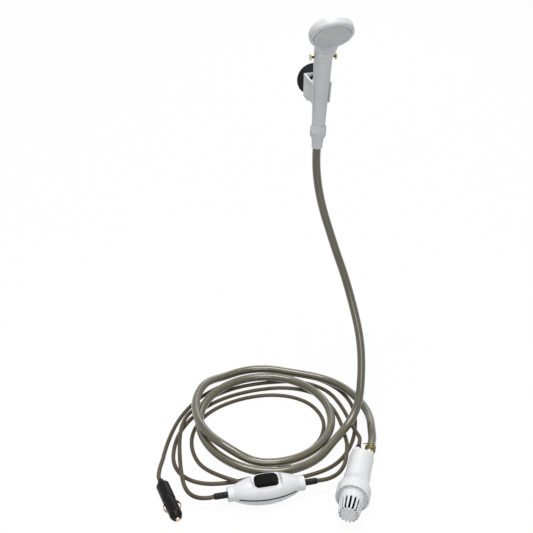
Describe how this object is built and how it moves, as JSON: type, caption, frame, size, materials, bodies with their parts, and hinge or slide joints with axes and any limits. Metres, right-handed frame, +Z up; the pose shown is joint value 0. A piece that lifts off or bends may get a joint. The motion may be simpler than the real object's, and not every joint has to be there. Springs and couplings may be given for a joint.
{
  "type": "camp shower pump",
  "caption": "Camp shower set: hand shower in a suction wall holder, coiled hose, submersible 12 V pump with strainer, inline switch and car plug.",
  "frame": {"origin": "middle of the suction cup's face on the wall", "axes": "+Y into the wall, +Z up, +X to the right as the shower is seen from the front"},
  "size_m": [0.3483, 0.4028, 0.6012],
  "materials": {
    "abs_white": "gloss",
    "rubber_black": "matte",
    "plastic_black": "satin",
    "pvc_hose": "satin",
    "acetal_cream": "satin",
    "brass": "polished",
    "steel": "satin",
    "copper_winding": "satin",
    "wire_pvc": "gloss",
    "ferrite": "matte",
    "glass": "clear"
  },
  "bodies": {
    "set": {"holder_bracket": "abs_white", "pump_casing": "abs_white", "pump_end_cap": "abs_white", "impeller_cover": "abs_white", "switch_base": "abs_white", "switch_cover": "abs_white", "cap_seal": "rubber_black", "cable_gland": "rubber_black", "shaft_seal": "rubber_black", "switch_seal": "rubber_black", "switch_boots": "rubber_black", "plug_boot": "rubber_black", "plug_body": "plastic_black", "plug_nose": "plastic_black", "motor_cap": "plastic_black", "switch_core": "plastic_black", "hose_riser": "pvc_hose", "hose_coil": "pvc_hose", "hose_pump_run": "pvc_hose", "hose_cuff": "pvc_hose", "pump_lead": "pvc_hose", "plug_lead": "pvc_hose", "hose_ferrule": "brass", "hose_clip": "brass", "shaft_bushes": "brass", "motor_can": "steel", "button_spring": "steel", "switch_screws": "steel", "tip_spring": "steel", "motor_wires": "wire_pvc", "motor_magnets": "ferrite", "plug_fuse": "glass"},
    "suction_cup": {"suction_cup": "rubber_black"},
    "handset": {"handset_shell": "abs_white", "spray_plate": "abs_white", "plate_seal": "rubber_black", "hanger_studs": "brass", "hose_tail": "abs_white", "tail_washer": "rubber_black"},
    "hose_nut": {"hose_nut": "abs_white"},
    "strainer": {"strainer": "abs_white"},
    "rotor": {"motor_rotor": "copper_winding", "motor_shaft": "steel", "impeller": "acetal_cream"},
    "switch_button": {"switch_button": "plastic_black"},
    "plug_tip": {"plug_tip": "brass"},
    "contact_left": {"contact_left": "steel"},
    "contact_right": {"contact_right": "steel"}
  },
  "joints": [
    {"name": "cup_turn", "type": "hinge", "parent": "set", "child": "suction_cup", "pos_m": [0, 0, 0], "axis": [0, 1, 0], "continuous": true},
    {"name": "handset_lift_out", "type": "slide", "parent": "set", "child": "handset", "axis": [-0.0009, -0.9994, -0.0349], "range_m": [0, 0.05], "deforming": ["hose_riser"]},
    {"name": "nut_turn", "type": "hinge", "parent": "handset", "child": "hose_nut", "pos_m": [-0.00131, -0.03825, -0.05645], "axis": [0.0262, -0.0349, 0.999], "continuous": true},
    {"name": "strainer_pull", "type": "slide", "parent": "set", "child": "strainer", "axis": [-0.4679, -0.8801, 0.0808], "range_m": [0, 0.03]},
    {"name": "rotor_spin", "type": "hinge", "parent": "set", "child": "rotor", "pos_m": [0, -0.284, -0.47278], "axis": [-0.4679, -0.8801, 0.0808], "continuous": true},
    {"name": "button_press", "type": "slide", "parent": "set", "child": "switch_button", "axis": [0, 0, -1], "range_m": [0, 0.0025], "stiffness_N_per_m": 600, "springref_m": -0.002, "deforming": ["button_spring"]},
    {"name": "tip_press", "type": "slide", "parent": "set", "child": "plug_tip", "axis": [-0.1444, 0.9895, 0], "range_m": [0, 0.003], "stiffness_N_per_m": 800, "springref_m": -0.002, "deforming": ["tip_spring"]},
    {"name": "left_contact_press", "type": "slide", "parent": "set", "child": "contact_left", "axis": [0.9895, 0.1444, 0], "range_m": [0, 0.0025], "stiffness_N_per_m": 1000, "springref_m": -0.002},
    {"name": "right_contact_press", "type": "slide", "parent": "set", "child": "contact_right", "axis": [-0.9895, -0.1444, 0], "range_m": [0, 0.0025], "stiffness_N_per_m": 1000, "springref_m": -0.002}
  ]
}
